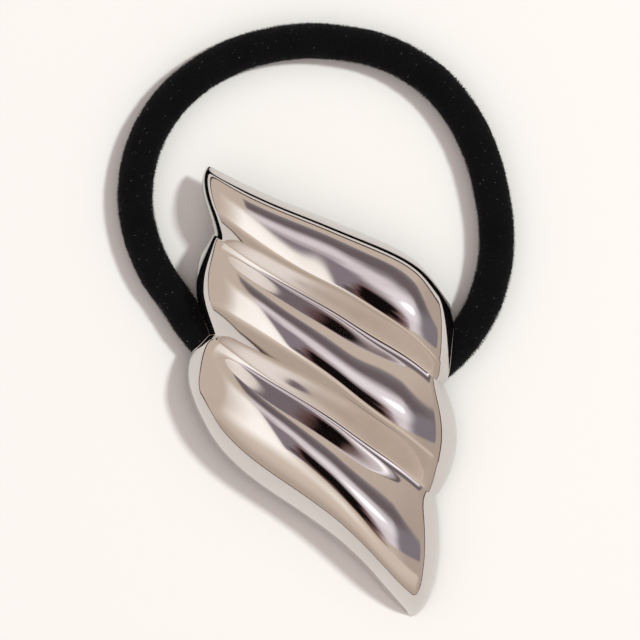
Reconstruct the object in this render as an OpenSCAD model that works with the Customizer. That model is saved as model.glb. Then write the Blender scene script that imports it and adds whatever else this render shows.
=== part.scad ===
// Hair tie that lies flat on a table: a round black elastic band, and on it a polished
// cast wing of three overlapping feathers. X runs across the wing, Y along it towards its
// raised end, Z up. The origin is on the table under the middle of the wing.

/* [Wing] */
// Width of the wing across its feathers
wing_w = 38.2; // [37.5:0.1:38.8]
// Length of the wing from its raised tip to the tip that rests on the table
wing_l = 63.5; // [62.5:0.1:64.5]
// Height of the middle feather's crest over the open back
crest_h = 8.8; // [8.6:0.1:9.8]
// Thickness of the cast wall
wall = 1; // [0.8:0.1:1.1]
// Angle at which the wing lies, raised at its upper end
wing_tilt = 4.7; // [4.5:0.1:5.2]
// Radius in plan of the rounding at the left and right ends of the feathers
end_round = 2.6; // [2:0.1:3]
// Radius in plan of the rounding along the top edge
top_round = 0.5; // [0.3:0.1:1]

/* [Band] */
// Thickness of the velvet covered elastic
band_d = 5; // [4.6:0.1:5]
// Gap left between the band and the metal round it
band_gap = 0.3; // [0.2:0.05:0.35]

/* [Back loop] */
// Length of the soldered loop along the band
loop_l = 5; // [3:0.5:6]
// Thickness of its bar, under the band
loop_bar = 0.8; // [0.6:0.1:0.9]
// Thickness of its two legs
loop_leg = 1.1; // [0.8:0.1:1.4]

/* [Fineness] */
// Steps of the wing's skin along a feather, between its rounded ends
steps_along = 36; // [24:2:40]
// Steps across each flank of a feather
steps_across = 6; // [4:1:6]
// Sides of the band's round section
band_sides = 12; // [8:2:16]

/* [Hidden] */

// The wing is measured at eight stations from its left end to its right end, on its back
// plane, for a wing 38.2 wide, 63.5 long and 8.8 high. Columns of a row: top edge x and y,
// first valley x, y and height, second valley x, y and height, bottom edge x and y.
table_w = 38.2;
table_l = 63.5;
table_h = 8.8;
plan_rows = [
    [-15.8, 32.0, -15.4, 22.7, 2.4, -16.1, 8.6, 2.8, -19.0, 0.6],
    [-10.9, 29.5, -11.8, 20.0, 3.6, -12.2, 5.8, 4.0, -15.9, -6.3],
    [-5.8, 27.2, -7.3, 17.2, 4.3, -8.0, 2.8, 4.6, -10.9, -11.5],
    [-0.7, 25.2, -2.6, 14.4, 4.6, -3.4, 0.0, 4.8, -5.4, -15.4],
    [4.4, 23.1, 2.0, 11.8, 4.5, 1.2, -2.9, 4.8, -0.1, -19.2],
    [9.4, 20.9, 6.8, 8.6, 4.3, 5.9, -6.4, 4.5, 4.9, -23.5],
    [14.2, 17.9, 11.9, 5.6, 4.0, 10.8, -9.9, 4.0, 9.1, -28.4],
    [17.3, 13.2, 17.0, 1.3, 3.7, 16.0, -14.6, 3.2, 12.4, -31.7]
];
// Columns of a row: crest height and share of the width above the crest, for the three
// feathers in turn, and last how softly the crests roll over into the flank below.
crest_rows = [
    [4.7, 0.47, 6.2, 0.54, 4.3, 0.59, 0.37],
    [5.8, 0.57, 7.6, 0.55, 6.9, 0.51, 0.26],
    [6.5, 0.66, 8.5, 0.56, 8.4, 0.48, 0.18],
    [6.9, 0.70, 8.8, 0.58, 8.9, 0.48, 0.12],
    [7.2, 0.69, 8.6, 0.61, 8.8, 0.53, 0.09],
    [7.0, 0.71, 8.3, 0.65, 8.7, 0.60, 0.06],
    [6.4, 0.76, 7.6, 0.70, 8.1, 0.66, 0.05],
    [5.3, 0.84, 5.9, 0.75, 6.7, 0.70, 0.07]
];
// Outward bulge of each feather's end. Columns: left bulge, how slowly it starts at the
// notch above, how slowly it dies at the notch below, then the same for the right end.
end_rows = [
    [1.2, 0.6, 1.3, 1.3, 0.5, 0.5],
    [2.1, 1.1, 1.3, 2.5, 1.0, 0.9],
    [1.3, 0.6, 1.0, 2.5, 1.0, 0.5]
];
stations = len(plan_rows) - 1;
// Distance between two stations along a feather
station_gap = 5.6;
// Stations over which a bulge dies away from the end
bulge_reach = 2.5;
// Share of its height by which a crest sinks at the left and at the right end of a feather,
// and the stations over which it does so
end_fall = [0.22, 0.15];
dome_reach = 1.2;
// A section runs up and down the page, and the feathers at a slant to it
slant = 0.84;
// Shares of the first feather's height that it loses towards its top edge: evenly, and in
// the steep roll over at the edge itself, with the power that says how late the roll starts
top_fall = 0.54;
edge_fall = 0.18;
edge_power = 12;
// Bend of the upper flanks at the crest and in the valley, and of the lower ones in the valley
upper_crest_bend = 0.58;
upper_valley_bend = 0.18;
lower_valley_bend = 0.07;
// Least rounding inside the top edge
inner_round = 0.2;
// Steps of the rounding at a feather's end, along the top edge and down to the bottom edge
end_steps = 4;
top_steps = 3;
bottom_steps = 7;
// Room that the arches in the wall leave round the band, and the most that they may take
// of the height inside the wall
arch_room = 0.45;
arch_share = 0.9;
tip_y = -wing_l / 2;

// Centre line of the band, once round. Columns: x, y, and how far it is lifted off the
// table, as a share of its lift in the back loop.
band_route = [
    [-1.6, -0.8, 1.0], [3.2, -0.9, 1.0], [7.9, -0.1, 0.6], [12.3, 1.6, 0.2],
    [16.4, 4.2, 0.0], [20.0, 7.8, 0.0], [22.8, 12.7, 0.0], [24.3, 18.1, 0.0],
    [24.5, 23.5, 0.0], [23.7, 28.8, 0.0], [22.3, 33.8, 0.0], [20.1, 38.4, 0.0],
    [17.0, 42.6, 0.0], [12.9, 45.9, 0.0], [8.3, 48.1, 0.0], [3.3, 49.2, 0.0],
    [-1.7, 49.6, 0.0], [-6.8, 49.1, 0.0], [-11.8, 47.7, 0.0], [-16.5, 45.3, 0.0],
    [-20.7, 41.9, 0.0], [-23.9, 37.5, 0.0], [-25.8, 32.5, 0.0], [-26.4, 27.1, 0.0],
    [-25.5, 21.9, 0.0], [-23.5, 17.1, 0.0], [-20.7, 13.0, 0.0], [-17.9, 8.9, 0.0],
    [-14.6, 5.3, 0.0], [-10.7, 2.3, 0.2], [-6.3, 0.3, 0.6]
];
band_count = len(band_route);
// The stretch behind the wing starts at this point of the route and ends at that one
hidden_from = 25;
hidden_to = 6;
// Middle of the back loop, and the stations of the wing between which it lies
loop_x = 1;
loop_y = -0.85;
loop_span = [2.6, 5.4];

// Smooth curve that passes through the rows of a table, at any station u
function last_index(t) = len(t) - 1;
function row_or_beyond(t, i) =
    i < 0 ? t[0] + (t[0] - t[1]) * -i
    : i > last_index(t) ? t[last_index(t)] + (t[last_index(t)] - t[last_index(t) - 1]) * (i - last_index(t))
    : t[i];
function guide(t, i) =
    row_or_beyond(t, i)
    - (row_or_beyond(t, i - 1) - 2 * row_or_beyond(t, i) + row_or_beyond(t, i + 1)) / 6;
function blend(a, b, c, d, s) =
    (a * pow(1 - s, 3) + b * (3 * pow(s, 3) - 6 * s * s + 4)
    + c * (-3 * pow(s, 3) + 3 * s * s + 3 * s + 1) + d * pow(s, 3)) / 6;
function at(t, u) =
    let (i = min(max(floor(u), 0), last_index(t) - 1))
    blend(guide(t, i - 1), guide(t, i), guide(t, i + 1), guide(t, i + 2), u - i);

// Curve from a to d that leaves towards b and arrives from c
function bend(a, b, c, d, s) =
    a * pow(1 - s, 3) + 3 * b * s * pow(1 - s, 2) + 3 * c * s * s * (1 - s) + d * pow(s, 3);

// Height of the lying wing's back plane over the table
function lift(y) = (y - tip_y) * sin(wing_tilt);
function lay(p) = [
    p[0],
    tip_y + (p[1] - tip_y) * cos(wing_tilt) - p[2] * sin(wing_tilt),
    lift(p[1]) + p[2] * cos(wing_tilt)
];

// Distance in plan from a point to the hidden stretch of the band, and the band's height there
function band_point(i) =
    let (p = band_route[(i + band_count) % band_count])
    [p[0], p[1], band_d / 2 + p[2] * (loop_bar + band_gap)];
function flat(p) = [p[0], p[1]];
function near_on(p, a, b) =
    let (run = flat(b) - flat(a), s = min(max((p - flat(a)) * run / (run * run), 0), 1))
    [norm(p - flat(a) - run * s), a[2] + (b[2] - a[2]) * s];
function nearest(list, i = 0, best = [1000, 0]) =
    i == len(list) ? best : nearest(list, i + 1, list[i][0] < best[0] ? list[i] : best);
function band_near(p) = nearest(
    [for (i = [hidden_from - band_count:hidden_to - 1])
        near_on(p, band_point(i), band_point(i + 1))]
);
// Height over the back plane up to which a wall is cut away for the band
function arch(p) =
    let (hit = band_near(p), r = band_d / 2 + arch_room)
    hit[0] >= r ? 0 : max(0, hit[1] + sqrt(r * r - hit[0] * hit[0]) - lift(p[1]));

// The columns of the skin, from the top edge to the bottom edge of the wing. Each is a
// feather, the kind of stretch it belongs to and the place in that stretch, from 0 to 1.
columns = concat(
    [for (i = [0:top_steps]) [0, "top rounding", i / top_steps]],
    [for (i = [1:steps_across]) [0, "top flank", i / steps_across]],
    [for (i = [1:steps_across]) [0, "lower flank", i / steps_across]],
    [for (i = [1:steps_across]) [1, "upper flank", i / steps_across]],
    [for (i = [1:steps_across]) [1, "lower flank", i / steps_across]],
    [for (i = [1:steps_across]) [2, "upper flank", i / steps_across]],
    [for (i = [1:bottom_steps]) [2, "bottom flank", i / bottom_steps]]
);

// A row of crests at station u, sunk towards the ends of the feathers
function end_dome(u) =
    1 - end_fall[0] * pow(max(1 - u / dome_reach, 0), 2)
      - end_fall[1] * pow(max(1 - (stations - u) / dome_reach, 0), 2);
function sunk(row, u) = [
    row[0] * end_dome(u), row[1], row[2] * end_dome(u), row[3],
    row[4] * end_dome(u), row[5], row[6]
];

// Place across a feather, as a share of its width, and height there, at a station's row.
// The inset is 0 on the outer skin and the wall's thickness on the inner one. The roof is the
// height of the first feather between its crest, at 0, and its top edge, at 1.
function crest(row, k, inset) = row[2 * k] * crest_h / table_h - inset;
function crest_share(row, k) = row[2 * k + 1];
function valley(plan, k, inset) = plan[4 + 3 * (k - 1)] * crest_h / table_h - inset;
function roof(x) = 1 - top_fall * x * x - edge_fall * pow(max(x, 0), edge_power);
function across(plan, row, column, width, inset) =
    let (k = column[0], kind = column[1], s = column[2])
    let (top = crest(row, k, inset), mid = crest_share(row, k), start = inset / width)
    let (round_share = max(top_round - inset, inner_round) / width, end_mid = 1 - start - mid)
    kind == "top rounding" ?
        let (f = start + round_share * (1 - cos(90 * s)))
        [f, top * roof(1 - f / mid) * sin(90 * s)]
    : kind == "top flank" ?
        let (f = start + round_share + (mid - start - round_share) * s)
        [f, top * roof(1 - f / mid)]
    : kind == "upper flank" ?
        let (low = valley(plan, k, inset))
        [mid * bend(0, upper_valley_bend, 1 - upper_crest_bend, 1, s),
         low + (top - low) * bend(0, 0, 1, 1, s)]
    : kind == "lower flank" ?
        let (low = valley(plan, k + 1, inset))
        [mid + (1 - mid) * bend(0, row[6], 1 - lower_valley_bend, 1, s),
         low + (top - low) * bend(1, 1, 0, 0, s)]
    :   [mid + end_mid * sin(90 * s), top * cos(90 * s)];

// Outward bulge of a feather's end at a share f of its width
function bulge(size, slow_start, slow_end, f) =
    let (m = slow_start / (slow_start + slow_end), g = min(max(f, 0), 1))
    size * pow(g, slow_start) * pow(1 - g, slow_end)
    / (pow(m, slow_start) * pow(1 - m, slow_end));
function fade(u) = pow(max(1 - u / bulge_reach, 0), 2);

// Edge k of the feathers in plan: 0 the top edge, 1 and 2 the valleys, 3 the bottom edge
function edge(plan, k) =
    let (i = k == 0 ? 0 : 3 * k - 1)
    [plan[i] * wing_w / table_w, plan[i + 1] * wing_l / table_l];
function in_plan(plan, k, f, u) =
    let (p = edge(plan, k) + (edge(plan, k + 1) - edge(plan, k)) * f, e = end_rows[k])
    [p[0] - fade(u) * bulge(e[0], e[1], e[2], f)
         + fade(stations - u) * bulge(e[3], e[4], e[5], f),
     p[1]];

// One point of a skin. Turn is the angle round the end's rounding, 90 between the ends.
function skin_point(u, turn, column, inset) =
    let (plan = at(plan_rows, u), row = sunk(at(crest_rows, u), u), k = column[0])
    let (width = norm(edge(plan, k + 1) - edge(plan, k)) * slant)
    let (a = across(plan, row, column, width, inset), p = in_plan(plan, k, a[0], u))
    [p[0], p[1], a[1] * sin(turn)];

// Rows of a skin: steps along the feathers, each a distance from an end or a station.
// At an end the rounding starts where the arch for the band ends.
function end_point(column, inset, at_left, step) =
    let (u0 = inset / station_gap, r = (end_round - inset) / station_gap)
    let (base = skin_point(at_left ? u0 : stations - u0, 90, column, inset))
    let (cut = min(arch([base[0], base[1]]), arch_share * base[2]))
    let (first = base[2] > 0.01 ? asin(cut / base[2]) : 0)
    let (turn = first + (90 - first) * step / end_steps, d = u0 + r * (1 - cos(turn)))
    skin_point(at_left ? d : stations - d, turn, column, inset);
function skin(inset) =
    let (first = end_round / station_gap, span = stations - 2 * first)
    concat(
        [for (i = [0:end_steps - 1]) [for (c = columns) end_point(c, inset, true, i)]],
        [for (i = [0:steps_along])
            [for (c = columns) skin_point(first + span * i / steps_along, 90, c, inset)]],
        [for (i = [end_steps - 1:-1:0]) [for (c = columns) end_point(c, inset, false, i)]]
    );

// Faces of a grid of points, and of the rim between the borders of two such grids
function grid_faces(rows, cols, start, flip) = [
    for (i = [0:rows - 2], j = [0:cols - 2])
        let (a = start + i * cols + j, b = a + 1, c = a + cols + 1, d = a + cols)
        for (f = [[c, b, a], [d, c, a]]) flip ? [f[2], f[1], f[0]] : f
];
function border(rows, cols) = concat(
    [for (j = [0:cols - 2]) j],
    [for (i = [0:rows - 2]) i * cols + cols - 1],
    [for (j = [cols - 1:-1:1]) (rows - 1) * cols + j],
    [for (i = [rows - 1:-1:1]) i * cols]
);
function rim_faces(rows, cols, second) =
    let (b = border(rows, cols), n = len(b))
    [for (i = [0:n - 1])
        let (p = b[i], q = b[(i + 1) % n])
        for (f = [[p, q, p + second], [q, q + second, p + second]]) f];

// Solid between two skins of the same rows and columns, the upper one first
module between(upper, lower) {
    rows = len(upper);
    cols = len(upper[0]);
    second = rows * cols;
    polyhedron(
        [for (s = [upper, lower], r = s, p = r) lay(p)],
        concat(
            grid_faces(rows, cols, 0, false),
            grid_faces(rows, cols, second, true),
            rim_faces(rows, cols, second)
        )
    );
}

// The legs end half way into the cast wall, whatever the slope of the feathers there
module back_loop() {
    middle = [for (u = [loop_span[0]:0.2:loop_span[1]])
        [for (c = columns) if (c[0] > 0) skin_point(u, 90, c, wall / 2)]];
    below = [for (r = middle) [for (p = r) [p[0], p[1], -crest_h]]];
    legs_at = band_d / 2 + band_gap;
    high = 2 * crest_h;
    intersection() {
        between(middle, below);
        for (side = [-1, 1])
            translate([loop_x, loop_y + side * (legs_at + loop_leg / 2), high / 2])
                cube([loop_l, loop_leg, high], center = true);
    }
    translate([loop_x, loop_y, loop_bar / 2])
        cube([loop_l, 2 * (legs_at + loop_leg), loop_bar], center = true);
}

// Ring round the band's centre line at one of its points
function band_ring(i) =
    let (way = band_point(i + 1) - band_point(i - 1), out = [way[1], -way[0], 0])
    let (side = out / norm(out), up = cross(side, way) / norm(way), r = band_d / 2)
    [for (j = [0:band_sides - 1])
        let (a = 360 * j / band_sides)
        band_point(i) + side * (r * cos(a)) - up * (r * sin(a))];

module wing_ornament() {
    color("#c9c2bd") union() {
        between(skin(0), skin(wall));
        back_loop();
    }
}

module elastic_band() {
    color("#101012") polyhedron(
        [for (i = [0:band_count - 1], p = band_ring(i)) p],
        [for (i = [0:band_count - 1], j = [0:band_sides - 1])
            let (k = (j + 1) % band_sides, n = (i + 1) % band_count * band_sides)
            for (f = [[n + k, i * band_sides + k, i * band_sides + j],
                      [n + j, n + k, i * band_sides + j]]) f]
    );
}

wing_ornament();
elastic_band();
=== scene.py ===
import math

import bpy
import numpy as np
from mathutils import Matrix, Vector


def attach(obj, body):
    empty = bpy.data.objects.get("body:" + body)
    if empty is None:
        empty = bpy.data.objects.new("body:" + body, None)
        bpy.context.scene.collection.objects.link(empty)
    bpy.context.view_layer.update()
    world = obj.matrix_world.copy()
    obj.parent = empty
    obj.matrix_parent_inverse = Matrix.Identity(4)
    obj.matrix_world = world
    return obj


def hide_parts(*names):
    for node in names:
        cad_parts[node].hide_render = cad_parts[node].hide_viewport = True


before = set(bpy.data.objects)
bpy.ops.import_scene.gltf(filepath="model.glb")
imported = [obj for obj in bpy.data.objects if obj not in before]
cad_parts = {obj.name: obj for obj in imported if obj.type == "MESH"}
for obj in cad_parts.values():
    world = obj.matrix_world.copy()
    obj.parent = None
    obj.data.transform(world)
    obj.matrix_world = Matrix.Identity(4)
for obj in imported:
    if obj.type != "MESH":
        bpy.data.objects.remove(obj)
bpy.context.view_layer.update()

MM = 0.001

# Camera, straight above the table. It sees a square of the table that is this wide.
CAMERA_X, CAMERA_Y, CAMERA_HEIGHT = -0.34, 10.245, 550.0
SEEN_WIDTH = 90.6
SENSOR_WIDTH = 36.0

# Sizes, as in part.scad
WALL = 1.0                 # thickness of the cast wall
TILT = math.radians(4.7)   # how the wing lies, raised at its upper end
END_ROUND = 2.6            # rounding in plan at the ends of the feathers
TOP_ROUND = 0.5            # rounding in plan along the top edge
INNER_ROUND = 0.2          # and the least that it has on the inside
BAND_D = 5.0               # thickness of the band
BAND_GAP = 0.3             # its play in the loop
LOOP_X, LOOP_Y = 1.0, -0.85                  # middle of the back loop
LOOP_L, LOOP_BAR, LOOP_LEG = 5.0, 0.8, 1.1   # its length, and how thick its parts are
LEG_SINK = 0.3             # share of the wall that its legs run into
LEG_FOOT = 0.02            # where they start in the bar
TIP_Y = -31.75             # the low tip, about which the wing is raised

# Wing sections at eight stations from the left end to the right one. Columns: top edge
# x and y, first valley x, y and height, second valley x, y and height, bottom edge x and y.
# The valley heights here, all of CRESTS and BULGES, TOP_FALL and the three bends weren't
# chosen by hand: a scratch script fitted them to the photo by least squares, and they are
# its results, rounded.
PLAN = np.array([
    (-15.8, 32.0, -15.4, 22.7, 2.4, -16.1, 8.6, 2.8, -19.0, 0.6),
    (-10.9, 29.5, -11.8, 20.0, 3.6, -12.2, 5.8, 4.0, -15.9, -6.3),
    (-5.8, 27.2, -7.3, 17.2, 4.3, -8.0, 2.8, 4.6, -10.9, -11.5),
    (-0.7, 25.2, -2.6, 14.4, 4.6, -3.4, 0.0, 4.8, -5.4, -15.4),
    (4.4, 23.1, 2.0, 11.8, 4.5, 1.2, -2.9, 4.8, -0.1, -19.2),
    (9.4, 20.9, 6.8, 8.6, 4.3, 5.9, -6.4, 4.5, 4.9, -23.5),
    (14.2, 17.9, 11.9, 5.6, 4.0, 10.8, -9.9, 4.0, 9.1, -28.4),
    (17.3, 13.2, 17.0, 1.3, 3.7, 16.0, -14.6, 3.2, 12.4, -31.7),
])
# Columns: crest height and share of the width above the crest, for the three feathers in
# turn, and last how softly the crests roll over into the flank below.
CRESTS = np.array([
    (4.7, 0.47, 6.2, 0.54, 4.3, 0.59, 0.37),
    (5.8, 0.57, 7.6, 0.55, 6.9, 0.51, 0.26),
    (6.5, 0.66, 8.5, 0.56, 8.4, 0.48, 0.18),
    (6.9, 0.70, 8.8, 0.58, 8.9, 0.48, 0.12),
    (7.2, 0.69, 8.6, 0.61, 8.8, 0.53, 0.09),
    (7.0, 0.71, 8.3, 0.65, 8.7, 0.60, 0.06),
    (6.4, 0.76, 7.6, 0.70, 8.1, 0.66, 0.05),
    (5.3, 0.84, 5.9, 0.75, 6.7, 0.70, 0.07),
])
# Outward bulge of a feather's ends. Columns: left bulge, how slowly it starts at the notch
# above, how slowly it dies at the notch below, then the same for the right end.
BULGES = [
    (1.2, 0.6, 1.3, 1.3, 0.5, 0.5),
    (2.1, 1.1, 1.3, 2.5, 1.0, 0.9),
    (1.3, 0.6, 1.0, 2.5, 1.0, 0.5),
]
LAST = len(PLAN) - 1
STATION_GAP = 5.6                    # distance between two stations
BULGE_REACH = 2.5                    # stations over which the ends bulge
DOME_REACH = 1.2                     # stations over which the crests sink towards an end
LEFT_FALL, RIGHT_FALL = 0.22, 0.15   # and the share of their height that they sink by
SLANT = 0.84                         # a feather's true width, as a share of its section's
TOP_FALL = 0.54                      # share of a crest lost evenly towards the top edge
EDGE_FALL, EDGE_POWER = 0.18, 12     # and the share lost in the steep roll at the edge
UPPER_CREST_BEND, UPPER_VALLEY_BEND, LOWER_VALLEY_BEND = 0.58, 0.18, 0.07
ARCH_ROOM = 0.1                      # room over the band where it passes under a wall
ARCH_SHARE = 0.9                     # and the most of the wall that is cut away for it

# Centre line of the band, once round. Columns: x, y, share of its lift in the back loop.
# The points in sight, from the sixth to the 27th, weren't chosen by hand either: a scratch
# script measured them on the photo.
BAND_ROUTE = [
    (-1.6, -0.8, 1.0), (3.2, -0.9, 1.0), (7.9, -0.1, 0.6), (12.3, 1.6, 0.2),
    (16.4, 4.2, 0.0), (20.0, 7.8, 0.0), (22.8, 12.7, 0.0), (24.3, 18.1, 0.0),
    (24.5, 23.5, 0.0), (23.7, 28.8, 0.0), (22.3, 33.8, 0.0), (20.1, 38.4, 0.0),
    (17.0, 42.6, 0.0), (12.9, 45.9, 0.0), (8.3, 48.1, 0.0), (3.3, 49.2, 0.0),
    (-1.7, 49.6, 0.0), (-6.8, 49.1, 0.0), (-11.8, 47.7, 0.0), (-16.5, 45.3, 0.0),
    (-20.7, 41.9, 0.0), (-23.9, 37.5, 0.0), (-25.8, 32.5, 0.0), (-26.4, 27.1, 0.0),
    (-25.5, 21.9, 0.0), (-23.5, 17.1, 0.0), (-20.7, 13.0, 0.0), (-17.9, 8.9, 0.0),
    (-14.6, 5.3, 0.0), (-10.7, 2.3, 0.2), (-6.3, 0.3, 0.6),
]
HIDDEN_FROM, HIDDEN_TO = 25, 6       # its points between which the wing covers it


# Camera
def make_camera():
    data = bpy.data.cameras.new("flat_lay_camera")
    data.sensor_width = SENSOR_WIDTH
    data.lens = SENSOR_WIDTH * CAMERA_HEIGHT / SEEN_WIDTH
    data.clip_start, data.clip_end = 0.01, 20.0
    cam = bpy.data.objects.new("flat_lay_camera", data)
    cam.location = (CAMERA_X * MM, CAMERA_Y * MM, CAMERA_HEIGHT * MM)
    bpy.context.collection.objects.link(cam)
    bpy.context.scene.camera = cam


make_camera()


# Node helpers
class Nodes:
    """Short hand for making and joining the nodes of one tree."""

    def __init__(self, tree):
        self.tree = tree

    def add(self, kind, inputs=None, **props):
        n = self.tree.nodes.new(kind)
        for k, v in props.items():
            setattr(n, k, v)
        for key, v in (inputs or {}).items():
            self.join(v, n.inputs[key])
        return n

    def join(self, value, socket):
        if isinstance(value, bpy.types.NodeSocket):
            self.tree.links.new(value, socket)
        else:
            socket.default_value = value

    def math(self, op, a, b=None, c=None, clamp=False):
        n = self.add("ShaderNodeMath", operation=op, use_clamp=clamp)
        for i, v in enumerate((a, b, c)):
            if v is not None:
                self.join(v, n.inputs[i])
        return n.outputs[0]

    def dot(self, a, b):
        return self.add("ShaderNodeVectorMath", {0: a, 1: b},
                        operation="DOT_PRODUCT").outputs["Value"]

    def smooth(self, value, low, high):
        """0 below low and 1 above high, with a smooth step between them."""
        n = self.add("ShaderNodeMapRange", interpolation_type="SMOOTHSTEP")
        for k, v in {"Value": value, "From Min": low, "From Max": high}.items():
            self.join(v, n.inputs[k])
        return n.outputs["Result"]

    def mix(self, factor, a, b):
        """Colour a where factor is 0, and b where it is 1."""
        n = self.add("ShaderNodeMix", data_type="RGBA", blend_type="MIX")
        self.join(factor, n.inputs["Factor"])
        self.join(a, n.inputs[6])
        self.join(b, n.inputs[7])
        return n.outputs[2]


def new_material(name):
    m = bpy.data.materials.new(name)
    m.use_nodes = True
    m.node_tree.nodes.clear()
    n = Nodes(m.node_tree)
    out = n.add("ShaderNodeOutputMaterial")
    shader = n.add("ShaderNodeBsdfPrincipled")
    n.tree.links.new(shader.outputs[0], out.inputs["Surface"])
    return m, n, shader


def shader_group(name, inputs, outputs):
    """Empty shader node group. Inputs are (name, value) and outputs (name, socket type)."""
    tree = bpy.data.node_groups.new(name, "ShaderNodeTree")
    for label, value in inputs:
        s = tree.interface.new_socket(label, in_out="INPUT", socket_type="NodeSocketFloat")
        s.default_value = value
    for label, kind in outputs:
        tree.interface.new_socket(label, in_out="OUTPUT", socket_type=kind)
    n = Nodes(tree)
    return tree, n, n.add("NodeGroupInput"), n.add("NodeGroupOutput")


def place_group(n, tree, **values):
    g = n.add("ShaderNodeGroup", node_tree=tree)
    for k, v in values.items():
        n.join(v, g.inputs[k.replace("_", " ").title()])
    return g


# Shared effects
def make_handling_marks():
    """Faint hand polish lines, soft smudges and a slight waviness on plated metal."""
    tree, n, gin, gout = shader_group(
        "handling_marks",
        [("Line Depth", 1.0), ("Smudge Amount", 1.0), ("Wave Depth", 1.0)],
        [("Smudge", "NodeSocketFloat"), ("Height", "NodeSocketFloat")])
    place = n.add("ShaderNodeTexCoord").outputs["Object"]
    slanted = n.add("ShaderNodeMapping", {"Vector": place, "Rotation": (0, 0, math.radians(-32)),
                                          "Scale": (260.0, 2600.0, 900.0)})
    lines = n.add("ShaderNodeTexNoise", {"Vector": slanted.outputs[0], "Scale": 1.0,
                                         "Detail": 4.0, "Roughness": 0.7})
    blotch = n.add("ShaderNodeTexNoise", {"Vector": place, "Scale": 120.0, "Detail": 3.0,
                                          "Roughness": 0.55})
    wave = n.add("ShaderNodeTexNoise", {"Vector": place, "Scale": 190.0, "Detail": 1.0})
    smudge = n.smooth(blotch.outputs["Fac"], 0.48, 0.72)
    smudge = n.math("MULTIPLY", smudge, gin.outputs["Smudge Amount"], clamp=True)
    height = n.math("MULTIPLY", lines.outputs["Fac"], gin.outputs["Line Depth"])
    height = n.math("MULTIPLY_ADD", wave.outputs["Fac"], gin.outputs["Wave Depth"], height)
    n.join(smudge, gout.inputs["Smudge"])
    n.join(height, gout.inputs["Height"])
    return tree


def make_fibre_grain():
    """Uneven depth of tone and a fine crossing grain, as on cut velvet pile."""
    tree, n, gin, gout = shader_group(
        "fibre_grain", [("Grain Size", 0.2), ("Contrast", 1.0)],
        [("Tone", "NodeSocketFloat"), ("Height", "NodeSocketFloat")])
    place = n.add("ShaderNodeTexCoord").outputs["Object"]
    scale = n.math("DIVIDE", 1000.0, gin.outputs["Grain Size"])
    fine = n.add("ShaderNodeTexNoise", {"Vector": place, "Scale": scale, "Detail": 3.0,
                                        "Roughness": 0.7})
    broad = n.add("ShaderNodeTexNoise", {"Vector": place, "Scale": 240.0, "Detail": 2.0})
    both = n.math("MULTIPLY_ADD", broad.outputs["Fac"], 0.6,
                  n.math("MULTIPLY", fine.outputs["Fac"], 0.4))
    tone = n.math("MULTIPLY", n.math("SUBTRACT", both, 0.5), gin.outputs["Contrast"])
    n.join(n.math("ADD", tone, 0.5, clamp=True), gout.inputs["Tone"])
    n.join(fine.outputs["Fac"], gout.inputs["Height"])
    return tree


HANDLING = make_handling_marks()
GRAIN = make_fibre_grain()


# Materials
def make_polished_metal():
    """Mirror polished plating of the wing's outside."""
    m, n, s = new_material("polished_metal")
    marks = place_group(n, HANDLING, line_depth=0.03, smudge_amount=1.0, wave_depth=0.5)
    n.join(n.mix(marks.outputs["Smudge"], (0.625, 0.596, 0.583, 1), (0.594, 0.562, 0.548, 1)),
           s.inputs["Base Color"])
    n.join(n.math("MULTIPLY_ADD", marks.outputs["Smudge"], 0.03, 0.045), s.inputs["Roughness"])
    bump = n.add("ShaderNodeBump", {"Strength": 0.12, "Distance": 0.00004,
                                    "Height": marks.outputs["Height"]})
    n.join(bump.outputs[0], s.inputs["Normal"])
    s.inputs["Metallic"].default_value = 1.0
    return m


def make_cast_back():
    """Plated but unpolished casting inside the shell and on its loop."""
    m, n, s = new_material("cast_back")
    marks = place_group(n, HANDLING, line_depth=0.3, smudge_amount=1.4, wave_depth=1.0)
    n.join(n.mix(marks.outputs["Smudge"], (0.60, 0.565, 0.54, 1), (0.50, 0.46, 0.43, 1)),
           s.inputs["Base Color"])
    n.join(n.math("MULTIPLY_ADD", marks.outputs["Smudge"], 0.14, 0.30), s.inputs["Roughness"])
    bump = n.add("ShaderNodeBump", {"Strength": 0.45, "Distance": 0.0002,
                                    "Height": marks.outputs["Height"]})
    n.join(bump.outputs[0], s.inputs["Normal"])
    s.inputs["Metallic"].default_value = 1.0
    return m


def make_velvet():
    """Black velvet cover of the band, with painted shade that darkens its colour in the grooves
    between its ribs.
    """
    m, n, s = new_material("black_velvet")
    rib = n.add("ShaderNodeAttribute", attribute_name="rib").outputs["Fac"]
    grain = place_group(n, GRAIN, grain_size=0.12, contrast=1.3)
    # Painted shade: the grain's tone is cut to 0.3 of it in the grooves between the ribs, where
    # rib is 0.
    tone = n.math("MULTIPLY", grain.outputs["Tone"], n.math("MULTIPLY_ADD", rib, 0.7, 0.3))
    n.join(n.mix(tone, (0.0016, 0.0015, 0.0018, 1), (0.0075, 0.0070, 0.0078, 1)),
           s.inputs["Base Color"])
    bump = n.add("ShaderNodeBump", {"Strength": 0.6, "Distance": 0.0001,
                                    "Height": grain.outputs["Height"]})
    n.join(bump.outputs[0], s.inputs["Normal"])
    s.inputs["Roughness"].default_value = 0.95
    s.inputs["Specular IOR Level"].default_value = 0.12
    s.inputs["Sheen Weight"].default_value = 0.05
    s.inputs["Sheen Roughness"].default_value = 0.5
    s.inputs["Sheen Tint"].default_value = (0.5, 0.48, 0.55, 1)
    return m


def make_pile():
    """The single cut fibres that stand on the velvet."""
    m, n, s = new_material("velvet_pile")
    grain = place_group(n, GRAIN, grain_size=0.3, contrast=1.5)
    n.join(n.mix(grain.outputs["Tone"], (0.002, 0.002, 0.0022, 1), (0.012, 0.011, 0.0125, 1)),
           s.inputs["Base Color"])
    s.inputs["Roughness"].default_value = 0.8
    s.inputs["Specular IOR Level"].default_value = 0.15
    return m


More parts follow.
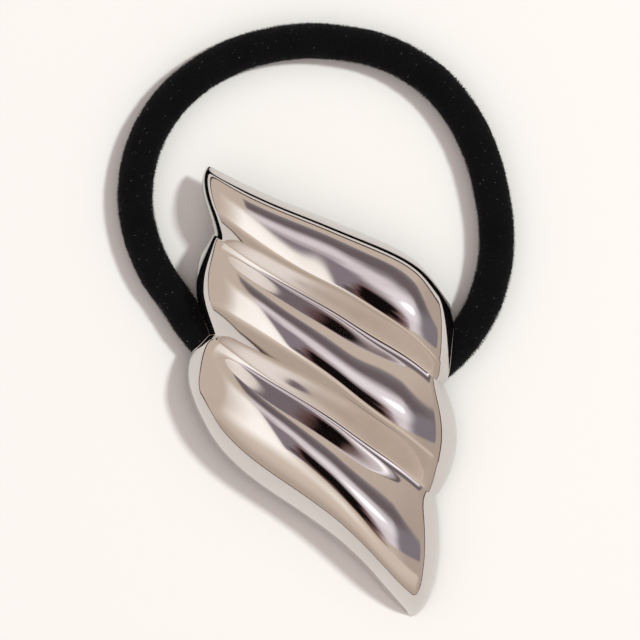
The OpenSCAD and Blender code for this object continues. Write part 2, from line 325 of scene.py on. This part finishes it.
def make_lint():
    """Specks of pale lint caught on the velvet."""
    m, n, s = new_material("pale_lint")
    grain = place_group(n, GRAIN, grain_size=0.5, contrast=2.0)
    n.join(n.mix(grain.outputs["Tone"], (0.09, 0.09, 0.10, 1), (0.31, 0.32, 0.35, 1)),
           s.inputs["Base Color"])
    s.inputs["Roughness"].default_value = 0.9
    return m


POLISHED = make_polished_metal()
BACK = make_cast_back()
VELVET = make_velvet()
PILE = make_pile()
LINT = make_lint()


# Band
RIBS = 496               # ribs round the ring
RINGS_PER_RIB = 4        # rings of points that make one rib
STEPS_BETWEEN = 12       # points of the centre line from one of the route to the next


def route_points():
    """Points of the band's route, with their height over the table."""
    return np.array([(x, y, BAND_D / 2 + lifted * (LOOP_BAR + BAND_GAP))
                     for x, y, lifted in BAND_ROUTE])


def band_line(steps):
    """The band's closed centre line in mm, with this many steps between two of the route."""
    pts = route_points()
    line = []
    for i in range(len(pts)):
        a, b, c, d = (pts[(i + k) % len(pts)] for k in (-1, 0, 1, 2))
        for t in np.arange(steps) / steps:
            line.append(0.5 * (2 * b + (c - a) * t + (2 * a - 5 * b + 4 * c - d) * t ** 2
                               + (3 * b - a - 3 * c + d) * t ** 3))
    return np.array(line)


def curve_object(name, line):
    data = bpy.data.curves.new(name, "CURVE")
    data.dimensions = "3D"
    spline = data.splines.new("POLY")
    spline.points.add(len(line) - 1)
    for p, q in zip(spline.points, line):
        p.co = (*(q * MM), 1)
    spline.use_cyclic_u = True
    o = bpy.data.objects.new(name, data)
    bpy.context.collection.objects.link(o)
    return o


def geometry_tree(name, inputs):
    """Empty geometry tree. Inputs are (name, socket type, value)."""
    tree = bpy.data.node_groups.new(name, "GeometryNodeTree")
    tree.interface.new_socket("Geometry", in_out="INPUT", socket_type="NodeSocketGeometry")
    for label, kind, value in inputs:
        s = tree.interface.new_socket(label, in_out="INPUT", socket_type=kind)
        if value is not None:
            s.default_value = value
    tree.interface.new_socket("Geometry", in_out="OUTPUT", socket_type="NodeSocketGeometry")
    n = Nodes(tree)
    return tree, n, n.add("NodeGroupInput"), n.add("NodeGroupOutput")


def tube(n, gin, rings, sides):
    """Tube round the input curve, with the place along it kept from 0 to 1."""
    even = n.add("GeometryNodeResampleCurve", {"Curve": gin.outputs["Geometry"],
                                               "Count": rings})
    along = n.add("GeometryNodeSplineParameter")
    keep = n.add("GeometryNodeCaptureAttribute", domain="POINT")
    keep.capture_items.new("FLOAT", "along")
    n.join(even.outputs[0], keep.inputs[0])
    n.join(along.outputs["Factor"], keep.inputs[1])
    ring = n.add("GeometryNodeCurvePrimitiveCircle", {"Resolution": sides,
                                                      "Radius": gin.outputs["Radius"]})
    body = n.add("GeometryNodeCurveToMesh", {"Curve": keep.outputs[0],
                                             "Profile Curve": ring.outputs[0]})
    return body.outputs[0], keep.outputs[1]


def finish_tree(n, gout, geometry, material):
    """The last nodes of every geometry tree."""
    real = n.add("GeometryNodeRealizeInstances", {"Geometry": geometry})
    dressed = n.add("GeometryNodeSetMaterial", {"Geometry": real.outputs[0],
                                                "Material": material})
    n.join(dressed.outputs[0], gout.inputs[0])


def ribbed_tree():
    """Round tube with fine ribs across it, uneven as cloth is, that rests on the table."""
    tree, n, gin, gout = geometry_tree("ribbed_velvet", [
        ("Radius", "NodeSocketFloat", 0.0025), ("Ribs", "NodeSocketInt", RIBS),
        ("Rib Depth", "NodeSocketFloat", 0.00012), ("Sway", "NodeSocketFloat", 0.0003),
        ("Fluff", "NodeSocketFloat", 0.00025), ("Lowest", "NodeSocketFloat", 1e-5),
        ("Rings", "NodeSocketInt", RINGS_PER_RIB * RIBS), ("Sides", "NodeSocketInt", 28),
        ("Finish", "NodeSocketMaterial", None)])
    body, along = tube(n, gin, gin.outputs["Rings"], gin.outputs["Sides"])
    turn = n.math("MULTIPLY", n.math("MULTIPLY", along, gin.outputs["Ribs"]), math.pi)
    rib = n.math("ABSOLUTE", n.math("SINE", turn))
    sway = n.add("ShaderNodeTexNoise", {"Scale": 210.0, "Detail": 2.0})
    sway = n.math("MULTIPLY", n.math("SUBTRACT", sway.outputs["Fac"], 0.5),
                  gin.outputs["Sway"])
    fluff = n.add("ShaderNodeTexNoise", {"Scale": 1500.0, "Detail": 2.0})
    fluff = n.math("MULTIPLY", n.math("SUBTRACT", fluff.outputs["Fac"], 0.5),
                   gin.outputs["Fluff"])
    out = n.math("MULTIPLY", n.math("SUBTRACT", rib, 0.8), gin.outputs["Rib Depth"])
    out = n.math("ADD", out, n.math("ADD", sway, fluff))
    normal = n.add("GeometryNodeInputNormal")
    push = n.add("ShaderNodeVectorMath", {0: normal.outputs[0]}, operation="SCALE")
    n.join(out, push.inputs["Scale"])
    moved = n.add("GeometryNodeSetPosition", {"Geometry": body, "Offset": push.outputs[0]})
    place = n.add("ShaderNodeSeparateXYZ", {0: n.add("GeometryNodeInputPosition").outputs[0]})
    over = n.math("MAXIMUM", place.outputs["Z"], gin.outputs["Lowest"])
    rested = n.add("ShaderNodeCombineXYZ", {"X": place.outputs["X"], "Y": place.outputs["Y"],
                                            "Z": over})
    moved = n.add("GeometryNodeSetPosition", {"Geometry": moved.outputs[0],
                                              "Position": rested.outputs[0]})
    # The rib profile is kept for the velvet material, which uses it to paint shade into the
    # grooves.
    named = n.add("GeometryNodeStoreNamedAttribute", {"Geometry": moved.outputs[0],
                                                      "Name": "rib", "Value": rib},
                  data_type="FLOAT", domain="POINT")
    smooth = n.add("GeometryNodeSetShadeSmooth", {"Geometry": named.outputs[0]})
    finish_tree(n, gout, smooth.outputs[0], gin.outputs["Finish"])
    return tree


SCATTER_RINGS, SCATTER_SIDES = 400, 24   # of the plain tube that fibres are scattered on
UNDERSIDE = -0.7                         # how far down a normal points where they stop
FULL_TURN = 6.28                         # radians


def scatter_tree(name, smallest, lean):
    """Pointed fibres, or specks, scattered over the band, but not where it meets the table.

    smallest is the least share of the full size, and lean the most tilt, in radians."""
    tree, n, gin, gout = geometry_tree(name, [
        ("Radius", "NodeSocketFloat", 0.0025), ("Per Square Metre", "NodeSocketFloat", 1.0e6),
        ("Length", "NodeSocketFloat", 0.0003), ("Thickness", "NodeSocketFloat", 0.00003),
        ("Seed", "NodeSocketInt", 4), ("Lean Seed", "NodeSocketInt", 11),
        ("Size Seed", "NodeSocketInt", 12), ("Finish", "NodeSocketMaterial", None)])
    body, _ = tube(n, gin, SCATTER_RINGS, SCATTER_SIDES)
    scatter = n.add("GeometryNodeDistributePointsOnFaces",
                    {"Mesh": body, "Density": gin.outputs["Per Square Metre"],
                     "Seed": gin.outputs["Seed"]}, distribute_method="RANDOM")
    way_up = n.add("ShaderNodeSeparateXYZ", {0: scatter.outputs["Normal"]}).outputs["Z"]
    under = n.math("LESS_THAN", way_up, UNDERSIDE)
    kept = n.add("GeometryNodeDeleteGeometry",
                 {"Geometry": scatter.outputs["Points"], "Selection": under}, domain="POINT")
    fibre = n.add("GeometryNodeMeshCone", {"Vertices": 3, "Side Segments": 1,
                                           "Radius Top": 0.0,
                                           "Radius Bottom": gin.outputs["Thickness"],
                                           "Depth": gin.outputs["Length"]})
    lean_by = n.add("FunctionNodeRandomValue", {"Min": (-lean, -lean, 0.0),
                                                "Max": (lean, lean, FULL_TURN),
                                                "Seed": gin.outputs["Lean Seed"]},
                    data_type="FLOAT_VECTOR")
    turned = n.add("FunctionNodeRotateEuler",
                   {"Rotation": scatter.outputs["Rotation"], "Rotate By": lean_by.outputs[0]},
                   rotation_type="EULER", space="LOCAL")
    size = n.add("FunctionNodeRandomValue",
                 {2: smallest, 3: 1.0, "Seed": gin.outputs["Size Seed"]}, data_type="FLOAT")
    placed = n.add("GeometryNodeInstanceOnPoints",
                   {"Points": kept.outputs[0], "Instance": fibre.outputs["Mesh"],
                    "Rotation": turned.outputs[0], "Scale": size.outputs[1]})
    finish_tree(n, gout, placed.outputs[0], gin.outputs["Finish"])
    return tree


def run_tree(name, line, tree, **values):
    """Plain mesh object that a geometry tree makes from a closed centre line."""
    source = curve_object(name + "_line", line)
    mod = source.modifiers.new(tree.name, "NODES")
    mod.node_group = tree
    ids = {s.name: s.identifier for s in tree.interface.items_tree if s.in_out == "INPUT"}
    for k, v in values.items():
        mod[ids[k.replace("_", " ").title()]] = v
    graph = bpy.context.evaluated_depsgraph_get()
    mesh = bpy.data.meshes.new_from_object(source.evaluated_get(graph),
                                           preserve_all_data_layers=True, depsgraph=graph)
    source.modifiers.remove(mod)
    bpy.data.objects.remove(source)
    mesh.name = name
    o = bpy.data.objects.new(name, mesh)
    bpy.context.collection.objects.link(o)
    return o


CENTRE_LINE = band_line(STEPS_BETWEEN)
band = run_tree("ribbed_band", CENTRE_LINE, ribbed_tree(), radius=0.00246, ribs=RIBS,
                rib_depth=0.00012, rings=RINGS_PER_RIB * RIBS, sides=28, finish=VELVET)
pile = run_tree("band_pile", CENTRE_LINE, scatter_tree("cut_pile", 0.4, 0.7),
                radius=0.00244, per_square_metre=1.4e7, length=0.0004, thickness=0.000045,
                seed=4, finish=PILE)
lint = run_tree("band_lint", CENTRE_LINE, scatter_tree("loose_lint", 0.25, 1.5),
                radius=0.00256, per_square_metre=3.0e5, length=0.00024, thickness=0.00005,
                seed=9, finish=LINT)


# Wing
def through_rows(rows, u):
    """Smooth curve that passes through the rows of a table, at any stations u."""
    ends = [rows[0] * 3 - rows[1] * 2, rows[0] * 2 - rows[1]]
    tail = [rows[-1] * 2 - rows[-2], rows[-1] * 3 - rows[-2] * 2]
    wide = np.array(ends + list(rows) + tail)
    guide = wide[1:-1] - (wide[:-2] - 2 * wide[1:-1] + wide[2:]) / 6
    i = np.clip(np.floor(u).astype(int), 0, len(rows) - 2)
    s = (u - i)[..., None]
    a, b, c, d = (guide[i + k] for k in range(4))
    return (a * (1 - s) ** 3 + b * (3 * s ** 3 - 6 * s * s + 4)
            + c * (-3 * s ** 3 + 3 * s * s + 3 * s + 1) + d * s ** 3) / 6


def bend(a, b, c, d, s):
    """Bezier curve through a and d, drawn towards b and c."""
    return a * (1 - s) ** 3 + 3 * b * s * (1 - s) ** 2 + 3 * c * s * s * (1 - s) + d * s ** 3


def lift(y):
    """Height that the tilt gives to the wing's back plane."""
    return (y - TIP_Y) * math.sin(TILT)


def lay(p):
    """The wing as it lies on the table, from its own back plane."""
    x, y, z = p[..., 0], p[..., 1], p[..., 2]
    return np.stack([x, TIP_Y + (y - TIP_Y) * math.cos(TILT) - z * math.sin(TILT),
                     lift(y) + z * math.cos(TILT)], -1)


FAR_OFF = 1e3   # mm, further than any point of the wing is from the band


def arch(x, y):
    """Height over the back plane up to which a wall is cut away for the band."""
    pts = route_points()
    n, r = len(pts), BAND_D / 2 + ARCH_ROOM
    best, height = np.full(x.shape, FAR_OFF), np.zeros(x.shape)
    p = np.stack([x, y], -1)
    for i in range(HIDDEN_FROM - n, HIDDEN_TO):
        a, b = pts[i % n], pts[(i + 1) % n]
        run = (b - a)[:2]
        s = np.clip((p - a[:2]) @ run / (run @ run), 0, 1)
        gap = np.linalg.norm(p - a[:2] - s[..., None] * run, axis=-1)
        near = gap < best
        best = np.where(near, gap, best)
        height = np.where(near, a[2] + (b[2] - a[2]) * s, height)
    top = height + np.sqrt(np.clip(r * r - best ** 2, 0, None)) - lift(y)
    return np.where(best < r, np.clip(top, 0, None), 0)


TOP_STEPS, FLANK_STEPS, LOWER_STEPS, BOTTOM_STEPS = 10, 32, 26, 30
END_STEPS, LONG_STEPS = 14, 190   # rows in the rounding of an end, and between the two
# Stretches of a section from the top edge down: feather, kind of stretch, steps.
STRETCHES = [(0, "top rounding", TOP_STEPS), (0, "top flank", FLANK_STEPS),
             (0, "lower flank", LOWER_STEPS), (1, "upper flank", FLANK_STEPS),
             (1, "lower flank", LOWER_STEPS), (2, "upper flank", FLANK_STEPS),
             (2, "bottom flank", BOTTOM_STEPS)]


def stretch_columns():
    """First column, last column, feather, kind and places from 0 to 1 of each stretch."""
    at, out = 0, []
    for i, (k, kind, steps) in enumerate(STRETCHES):
        s = np.arange(0 if i == 0 else 1, steps + 1) / steps
        out.append((at, at + len(s), k, kind, s))
        at += len(s)
    return out, at


COLUMNS, WIDE = stretch_columns()
RAIL_X = (0, 2, 5, 8)   # columns of PLAN with x of the top edge, the valleys, the bottom edge
LEAST_HEIGHT = 0.01     # mm, below which a wall has no height to cut away
NO_ZERO = 1e-6          # mm, least height that is divided by


def skin_points(u, turn, inset):
    """Points of a skin. u and turn hold a station and an angle for each row and column."""
    plan, row = through_rows(PLAN, u), through_rows(CRESTS, u)
    out = np.zeros(u.shape + (3,))
    for first, last, k, kind, s in COLUMNS:
        c = slice(first, last)
        pl, ro, uu = plan[:, c], row[:, c], u[:, c]
        high = pl[..., RAIL_X[k]:RAIL_X[k] + 2]
        low = pl[..., RAIL_X[k + 1]:RAIL_X[k + 1] + 2]
        width = np.linalg.norm(low - high, axis=-1) * SLANT
        top, mid = ro[..., 2 * k] * dome(uu) - inset, ro[..., 2 * k + 1]
        start = inset / width
        edge_round = max(TOP_ROUND - inset, INNER_ROUND) / width
        if kind == "top rounding":
            f = start + edge_round * (1 - np.cos(s * math.pi / 2))
            z = top * roof(1 - f / mid) * np.sin(s * math.pi / 2)
        elif kind == "top flank":
            f = start + edge_round + (mid - start - edge_round) * s
            z = top * roof(1 - f / mid)
        elif kind == "upper flank":
            v = pl[..., RAIL_X[k] + 2] - inset
            f = mid * bend(0, UPPER_VALLEY_BEND, 1 - UPPER_CREST_BEND, 1, s)
            z = v + (top - v) * bend(0, 0, 1, 1, s)
        elif kind == "lower flank":
            v = pl[..., RAIL_X[k + 1] + 2] - inset
            f = mid + (1 - mid) * bend(0, ro[..., 6], 1 - LOWER_VALLEY_BEND, 1, s)
            z = v + (top - v) * bend(1, 1, 0, 0, s)
        else:
            f = mid + (1 - start - mid) * np.sin(s * math.pi / 2)
            z = top * np.cos(s * math.pi / 2)
        b = BULGES[k]
        out[:, c, :2] = high + (low - high) * f[..., None]
        out[:, c, 0] += fade(LAST - uu) * bulge(b[3:], f) - fade(uu) * bulge(b[:3], f)
        out[:, c, 2] = z * np.sin(turn[:, c])
    return out


def roof(x):
    """Share of the crest's height from the crest, at x = 0, to the top edge, at x = 1."""
    return 1 - TOP_FALL * x ** 2 - EDGE_FALL * np.clip(x, 0, None) ** EDGE_POWER


def dome(u):
    """Share of a crest's height that is left where it sinks towards a feather's ends."""
    left = np.clip(1 - u / DOME_REACH, 0, None) ** 2
    right = np.clip(1 - (LAST - u) / DOME_REACH, 0, None) ** 2
    return 1 - LEFT_FALL * left - RIGHT_FALL * right


def fade(u):
    """How much of an end's bulge is left this many stations from it."""
    return np.clip(1 - u / BULGE_REACH, 0, None) ** 2


def bulge(row, f):
    """Outward bulge of an end at a place f, 0 to 1, between its upper and lower notch."""
    size, start, end = row
    m, g = start / (start + end), np.clip(f, 0, 1)
    return size * g ** start * (1 - g) ** end / (m ** start * (1 - m) ** end)


def skin(inset):
    """Grid of a skin's points, from the left end to the right one."""
    first = END_ROUND / STATION_GAP
    u0, r = inset / STATION_GAP, (END_ROUND - inset) / STATION_GAP
    parts = []
    for at_left in (True, False):
        edge_u = np.full((1, WIDE), u0 if at_left else LAST - u0)
        base = skin_points(edge_u, np.full((1, WIDE), math.pi / 2), inset)[0]
        cut = np.minimum(arch(base[:, 0], base[:, 1]), ARCH_SHARE * base[:, 2])
        low = np.arcsin(np.clip(cut / np.maximum(base[:, 2], NO_ZERO), 0, 1))
        low[base[:, 2] < LEAST_HEIGHT] = 0
        share = (np.arange(END_STEPS) / END_STEPS)[:, None]
        turn = low + (math.pi / 2 - low) * share
        d = u0 + r * (1 - np.cos(turn))
        rows = skin_points(d if at_left else LAST - d, turn, inset)
        parts.append(rows if at_left else rows[::-1])
    u = first + (LAST - 2 * first) * np.arange(LONG_STEPS + 1) / LONG_STEPS
    u = np.repeat(u[:, None], WIDE, 1)
    middle = skin_points(u, np.full(u.shape, math.pi / 2), inset)
    return np.concatenate([parts[0], middle, parts[1]])


def grid_faces(rows, cols, start, flip):
    """Four-cornered faces of a grid of points, row by row, whose first point is start."""
    i, j = np.meshgrid(np.arange(rows - 1), np.arange(cols - 1), indexing="ij")
    a = (start + i * cols + j).ravel()
    f = np.stack([a, a + cols, a + cols + 1, a + 1], 1)
    return f[:, ::-1] if flip else f


def border(rows, cols):
    """Points round the edge of a grid, in order."""
    return ([j for j in range(cols - 1)] + [i * cols + cols - 1 for i in range(rows - 1)]
            + [(rows - 1) * cols + j for j in range(cols - 1, 0, -1)]
            + [i * cols for i in range(rows - 1, 0, -1)])


NEAREST = 4                      # skin points that a ceiling height is taken from
BLOCK_ROWS, BLOCK_COLS = 16, 6   # points of a block's upper side


def ceiling(x, y, inner):
    """Height of the shell's inside over the table at a place, from its nearest points."""
    flat = inner.reshape(-1, 3)
    near = np.argsort((flat[:, 0] - x) ** 2 + (flat[:, 1] - y) ** 2)[:NEAREST]
    return float(flat[near, 2].mean())


def block(x0, x1, y0, y1, floor, top):
    """Corners and faces of an upright block whose upper side is at a height top(x, y)."""
    rows, cols = BLOCK_ROWS, BLOCK_COLS
    x, y = np.meshgrid(np.linspace(x0, x1, rows), np.linspace(y0, y1, cols), indexing="ij")
    z = np.array([[top(p, q) for p, q in zip(*row)] for row in zip(x, y)])
    upper = np.stack([x, y, z], -1).reshape(-1, 3)
    lower = np.stack([x, y, np.full(x.shape, floor)], -1).reshape(-1, 3)
    b = border(rows, cols)
    rim = [(q, q + rows * cols, p + rows * cols, p) for p, q in zip(b, b[1:] + b[:1])]
    faces = np.concatenate([grid_faces(rows, cols, 0, False),
                            grid_faces(rows, cols, rows * cols, True), np.array(rim)])
    return np.concatenate([upper, lower]), faces


def make_wing():
    """The cast shell: outer skin, inner skin and the rim between them."""
    outer, inner = lay(skin(0)), lay(skin(WALL))
    rows, cols = outer.shape[:2]
    second = rows * cols
    points = np.concatenate([outer.reshape(-1, 3), inner.reshape(-1, 3)])
    b = border(rows, cols)
    rim = [(q, p, p + second, q + second) for p, q in zip(b, b[1:] + b[:1])]
    faces = np.concatenate([grid_faces(rows, cols, 0, False),
                            grid_faces(rows, cols, second, True), np.array(rim)])
    mesh = bpy.data.meshes.new("feather_wing")
    mesh.from_pydata((points * MM).tolist(), [], faces.tolist())
    mesh.polygons.foreach_set("use_smooth", [True] * len(mesh.polygons))
    outside = (rows - 1) * (cols - 1)
    mesh.polygons.foreach_set("material_index",
                              [0] * outside + [1] * (len(faces) - outside))
    wing = bpy.data.objects.new("feather_wing", mesh)
    bpy.context.collection.objects.link(wing)
    for m in (POLISHED, BACK):
        mesh.materials.append(m)
    return wing, inner


def make_loop(inner):
    """Plain bar on two legs, soldered into the shell, that holds the band."""
    reach, x0, x1 = BAND_D / 2 + BAND_GAP, LOOP_X - LOOP_L / 2, LOOP_X + LOOP_L / 2

    def in_wall(x, y):
        return ceiling(x, y, inner) + LEG_SINK * WALL

    blocks = [block(x0, x1, LOOP_Y - reach - LOOP_LEG, LOOP_Y + reach + LOOP_LEG, 0.0,
                    lambda x, y: LOOP_BAR)]
    for side in (-1, 1):
        y0, y1 = sorted((LOOP_Y + side * reach, LOOP_Y + side * (reach + LOOP_LEG)))
        blocks.append(block(x0, x1, y0, y1, LEG_FOOT, in_wall))
    points, faces, start = [], [], 0
    for p, f in blocks:
        points.append(p)
        faces.append(f + start)
        start += len(p)
    mesh = bpy.data.meshes.new("back_loop")
    mesh.from_pydata((np.concatenate(points) * MM).tolist(), [], np.concatenate(faces).tolist())
    mesh.materials.append(BACK)
    loop = bpy.data.objects.new("back_loop", mesh)
    bpy.context.collection.objects.link(loop)
    return loop


wing, inner_skin = make_wing()
loop = make_loop(inner_skin)


# Table, world and lights
TABLE_HALF = 4.0                    # m
LAMP_AZIMUTH, LAMP_HEIGHT = 20, 56  # degrees, from the hair tie
LAMP_DISTANCE, LAMP_WIDTH = 3.0, 0.3675
LAMP_POWER = 54.0
LAMP_COLOUR = (0.90, 1.0, 1.0)
RIGHT_WAY, AHEAD_WAY = -19, 71      # azimuths of its right and its far side, as fitted

# What the metal mirrors: colours of the studio's parts
ROOM_WALL = (0.685, 0.582, 0.492, 1)
RIGHT_WALL = (0.54, 0.45, 0.38, 1)
WALL_BEHIND = (0.80, 0.685, 0.575, 1)
LOW_WALL_BEHIND = (0.56, 0.47, 0.385, 1)
PALE_CARD = (1.33, 1.285, 1.23, 1)
GREY_FOOT = (0.26, 0.23, 0.24, 1)
GREY_DARK = (0.18, 0.145, 0.155, 1)
GREY_BRIGHT = (0.88, 0.80, 0.84, 1)
GREY_UPPER = (0.29, 0.245, 0.28, 1)
GREY_FAR_RIGHT = (0.27, 0.24, 0.27, 1)
PATCH_CORNER = (0.05, 0.030, 0.028, 1)
PATCH_RIM = (0.16, 0.065, 0.048, 1)
PATCH_MIDDLE = (0.006, 0.004, 0.004, 1)
LAMP_GLOW = (1.2, 1.17, 1.24, 1)
LAMP_FACE = (1.8, 1.8, 1.9, 1)
ROOM_FOOT = (0.09, 0.055, 0.042, 1)
MIRROR_GAIN = 0.18                  # how much brighter the metal shows all of this
TWICE_GAIN = 0.24                   # and how much more where it shows it by two mirrorings
# What lights the table and the velvet, from low down and from overhead
LIGHT_LOW = (0.20, 0.184, 0.182, 1)
LIGHT_OVERHEAD = (0.80, 0.738, 0.732, 1)


def make_table():
    """Pale table top, as wide as it takes to have no edge in sight."""
    mesh = bpy.data.meshes.new("pale_table")
    r = TABLE_HALF
    mesh.from_pydata([(-r, -r, 0), (r, -r, 0), (r, r, 0), (-r, r, 0)], [], [(0, 1, 2, 3)])
    o = bpy.data.objects.new("pale_table", mesh)
    bpy.context.collection.objects.link(o)
    m, _, s = new_material("pale_table")
    s.inputs["Base Color"].default_value = (0.90, 0.862, 0.82, 1)
    s.inputs["Roughness"].default_value = 0.9
    s.inputs["Specular IOR Level"].default_value = 0.1
    mesh.materials.append(m)


def direction(az, el):
    """Unit vector to an azimuth and an elevation in degrees."""
    a, e = math.radians(az), math.radians(el)
    return (math.cos(a) * math.cos(e), math.sin(a) * math.cos(e), math.sin(e))


def make_world():
    """Soft studio: warm walls, a pale card, a grey side with a bright strip, camera and lamp."""
    world = bpy.data.worlds.new("soft_studio")
    bpy.context.scene.world = world
    world.use_nodes = True
    world.node_tree.nodes.clear()
    n = Nodes(world.node_tree)
    way = n.add("ShaderNodeTexCoord").outputs["Generated"]
    up = n.add("ShaderNodeSeparateXYZ", {0: way}).outputs["Z"]
    right = n.dot(way, direction(RIGHT_WAY, 0))
    ahead = n.dot(way, direction(AHEAD_WAY, 0))

    def fall(value, low, high):
        return n.math("SUBTRACT", 1.0, n.smooth(value, low, high))

    def times(a, b):
        return n.math("MULTIPLY", a, b)

    def squares(a, b):
        return n.math("ADD", times(a, a), times(b, b))

    def round_lamp(inner, outer):
        """1 within inner degrees of the lamp's middle, 0 beyond outer degrees."""
        dot = n.dot(way, direction(LAMP_AZIMUTH, LAMP_HEIGHT))
        return n.smooth(dot, math.cos(math.radians(outer)), math.cos(math.radians(inner)))

    # Walls, darker on the right, brighter high up behind and darker low down there
    wall = n.mix(n.smooth(right, 0.40, 0.70), ROOM_WALL, RIGHT_WALL)
    behind = times(fall(ahead, -0.30, -0.10), n.smooth(up, 0.30, 0.70))
    behind = times(behind, n.smooth(right, -0.70, -0.40))
    wall = n.mix(behind, wall, WALL_BEHIND)
    low = times(fall(ahead, -0.8, -0.6), fall(up, 0.15, 0.45))
    wall = n.mix(low, wall, LOW_WALL_BEHIND)

    # The card on the left, which fades away at all its edges
    side = n.math("MULTIPLY_ADD", ahead, -0.3, right)
    card = times(n.smooth(side, -0.64, -0.18), fall(ahead, 0.60, 0.82))
    card = times(card, n.smooth(ahead, -0.72, -0.25))
    card = times(card, n.math("MULTIPLY_ADD", fall(right, -0.12, 0.05), 0.4, 0.6))
    card = times(card, fall(right, -0.05, 0.15))
    colour = n.mix(card, wall, PALE_CARD)

    # The grey side, in bands of tone along its slanting lower edge, darker on the far right
    uneven = n.add("ShaderNodeTexNoise", {"Vector": way, "Scale": 7.0, "Detail": 2.0})
    uneven = n.math("SUBTRACT", uneven.outputs["Fac"], 0.5)
    lower_edge = n.math("MULTIPLY_ADD", right, -0.3, up)
    rise = n.math("MULTIPLY_ADD", uneven, 0.12, lower_edge)
    inner = n.math("MULTIPLY_ADD", right, -0.15, rise)
    tone = n.mix(n.smooth(rise, 0.30, 0.42), GREY_FOOT, GREY_DARK)
    tone = n.mix(n.smooth(rise, 0.50, 0.68), tone, GREY_BRIGHT)
    tone = n.mix(n.smooth(inner, 0.70, 0.84), tone, GREY_UPPER)
    far_right = times(n.smooth(right, 0.47, 0.64), fall(ahead, 0.36, 0.52))
    tone = n.mix(far_right, tone, GREY_FAR_RIGHT)
    near = n.math("MULTIPLY_ADD", ahead, 0.94, times(right, -0.34))
    grey = times(n.smooth(right, -0.04, 0.01), n.smooth(lower_edge, 0.26, 0.33))
    grey = times(grey, n.smooth(near, -0.18, -0.14))
    colour = n.mix(grey, colour, tone)

    # The dark camera overhead: a long patch with a warm rim, and a corner on its left
    across = n.math("SUBTRACT", right, 0.25)
    along = times(n.math("SUBTRACT", ahead, 0.10), 0.40)
    size = n.math("MULTIPLY_ADD", uneven, 0.03, squares(across, along))
    corner = squares(n.math("SUBTRACT", right, 0.14), n.math("ADD", ahead, 0.03))
    colour = n.mix(times(fall(corner, 0.004, 0.013), 0.7), colour, PATCH_CORNER)
    colour = n.mix(times(fall(size, 0.009, 0.022), 0.8), colour, PATCH_RIM)
    colour = n.mix(fall(size, 0.005, 0.012), colour, PATCH_MIDDLE)

    # The lamp beside it, and the haze round its face
    colour = n.mix(times(round_lamp(1, 14), 0.45), colour, LAMP_GLOW)
    colour = n.mix(round_lamp(0.0, 5.0), colour, LAMP_FACE)

    # The dark foot of the room, lower behind than in front
    foot = n.math("MULTIPLY_ADD", n.smooth(ahead, -0.7, -0.4), -0.05, up)
    colour = n.mix(fall(foot, 0.01, 0.05), colour, ROOM_FOOT)

    # The metal shows the studio; everything else is lit by a plain soft sky
    path = n.add("ShaderNodeLightPath")
    mirrored = path.outputs["Is Glossy Ray"]
    twice = n.math("GREATER_THAN", path.outputs["Glossy Depth"], 1.5)
    overhead = n.mix(n.smooth(up, 0.2, 0.8), LIGHT_LOW, LIGHT_OVERHEAD)
    colour = n.mix(mirrored, overhead, colour)
    strength = n.math("MULTIPLY_ADD", mirrored, MIRROR_GAIN, 1.0)
    strength = n.math("MULTIPLY_ADD", twice, TWICE_GAIN, strength)
    back = n.add("ShaderNodeBackground", {"Color": colour, "Strength": strength})
    out = n.add("ShaderNodeOutputWorld")
    n.tree.links.new(back.outputs[0], out.inputs["Surface"])


def make_key_light():
    """Round lamp. The metal doesn't mirror it, but shows the lamp of the world instead."""
    data = bpy.data.lights.new("key_lamp", "AREA")
    data.shape = "DISK"
    data.size = LAMP_WIDTH
    data.energy = LAMP_POWER
    data.color = LAMP_COLOUR
    o = bpy.data.objects.new("key_lamp", data)
    way = np.array(direction(LAMP_AZIMUTH, LAMP_HEIGHT))
    o.location = tuple(way * LAMP_DISTANCE)
    o.rotation_mode = "QUATERNION"
    o.visible_glossy = False
    o.rotation_quaternion = Vector(-way).to_track_quat("-Z", "Y")
    bpy.context.collection.objects.link(o)


make_table()
make_world()
make_key_light()
bpy.context.scene.view_settings.view_transform = "Standard"


# What each piece is
for piece in (band, pile, lint, wing, loop):
    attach(piece, "root")
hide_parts("elastic_band")
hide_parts("wing_ornament")
